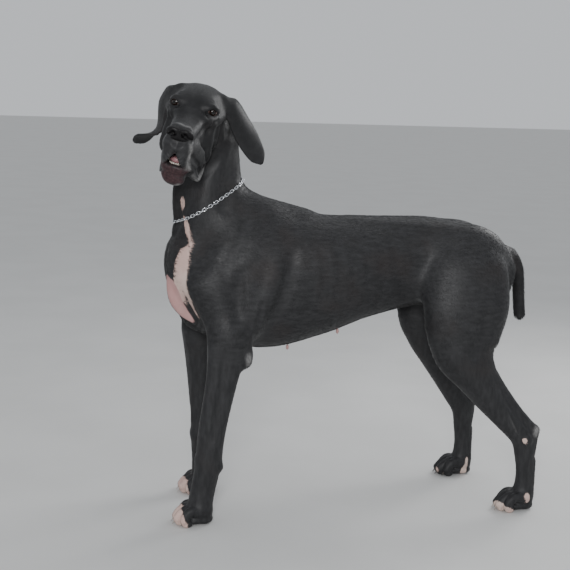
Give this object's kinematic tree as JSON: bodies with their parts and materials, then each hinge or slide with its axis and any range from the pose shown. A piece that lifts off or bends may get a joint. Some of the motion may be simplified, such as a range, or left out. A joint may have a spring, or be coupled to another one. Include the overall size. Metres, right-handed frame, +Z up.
{
  "type": "great dane",
  "caption": "Life-size still model of a standing great dane bitch, short black coat, white marks, natural ears, head turned to her left, slim chain collar.",
  "frame": {"origin": "middle of the base of the whole model's box, on the floor between the four paws", "axes": "+X back towards her tail, -X the way she faces, +Y to her right, +Z up"},
  "size_m": [1.0162, 0.4298, 1.0437],
  "materials": {
    "coat": "short glossy black coat with a soft grey sheen, white on throat, chest and toes",
    "nose": "damp pebbled black leather",
    "mouth": "wet pink and grey tongue and gum",
    "eye": "wet dark brown iris under a clear cornea",
    "horn": "worn claw horn, ivory at the tips",
    "teeth": "ivory tooth enamel",
    "chain": "polished steel links"
  },
  "bodies": {
    "root": {"torso": "coat", "neck": "coat", "head": "coat", "lower_jaw": "coat", "tongue": "mouth", "nose": "nose", "ear_left": "coat", "ear_right": "coat", "eye_left": "eye", "eye_right": "eye", "collar": "chain", "tail": "coat", "foreleg_left": "coat", "forepaw_left": "coat", "hindleg_left": "coat", "hindpaw_left": "coat", "foreleg_right": "coat", "forepaw_right": "coat", "hindleg_right": "coat", "hindpaw_right": "coat"}
  },
  "joints": []
}
